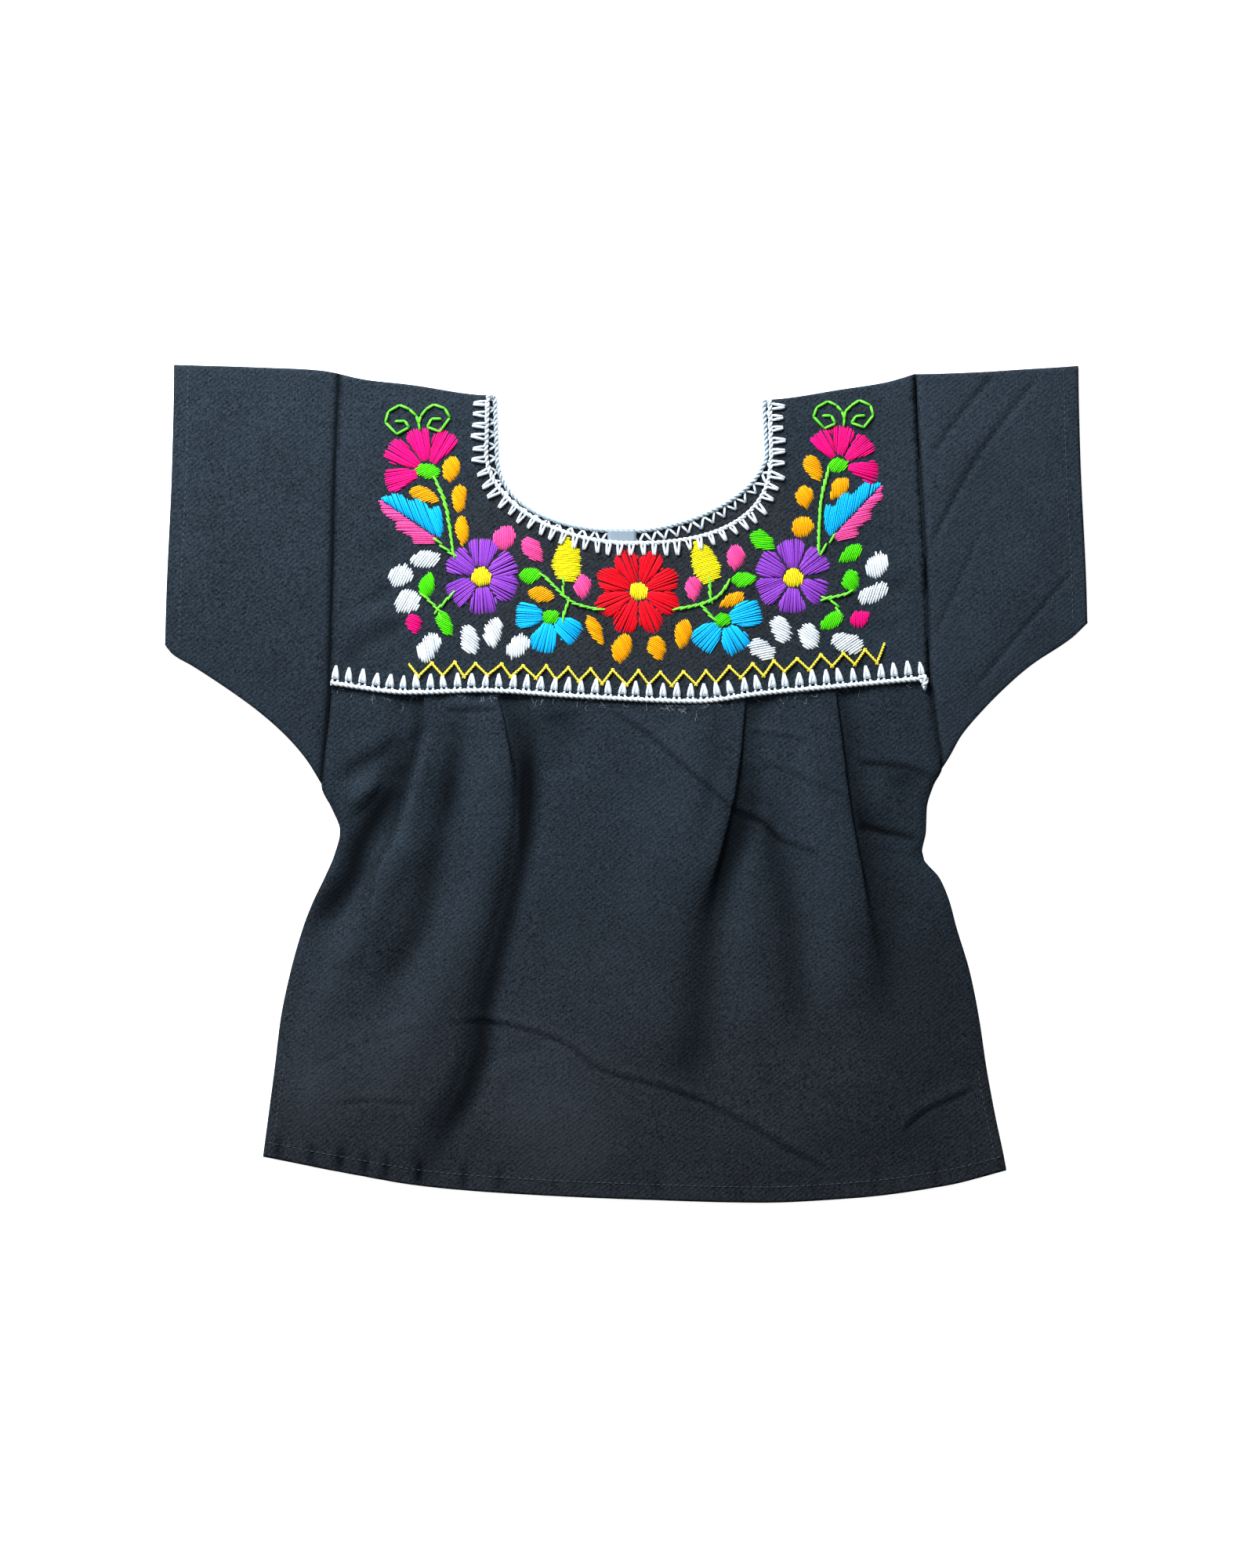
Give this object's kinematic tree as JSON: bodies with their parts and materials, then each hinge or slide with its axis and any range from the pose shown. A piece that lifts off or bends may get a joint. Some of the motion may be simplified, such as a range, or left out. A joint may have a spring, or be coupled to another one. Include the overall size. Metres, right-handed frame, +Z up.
{
  "type": "embroidered blouse",
  "caption": "Toddler's short-sleeved blouse laid flat, with a round neck, a raised flower-embroidered yoke and a pleated lower front.",
  "frame": {"origin": "on the surface that the blouse lies on, under the middle of its bounding box", "axes": "+X across the blouse to the right as seen from above, +Y from the hem to the shoulders, +Z up from the surface through the layers"},
  "size_m": [0.4474, 0.4059, 0.006],
  "materials": {
    "black_cloth": "matte twill with a short nap",
    "white_yarn": "soft twisted yarn",
    "label_satin": "satin ribbon"
  },
  "bodies": {
    "root": {"yoke": "black_cloth", "front_skirt": "black_cloth", "back_skirt": "black_cloth", "sleeve_left": "black_cloth", "sleeve_right": "black_cloth", "neck_edging": "white_yarn", "yoke_edging": "white_yarn", "neck_label": "label_satin"}
  },
  "joints": []
}
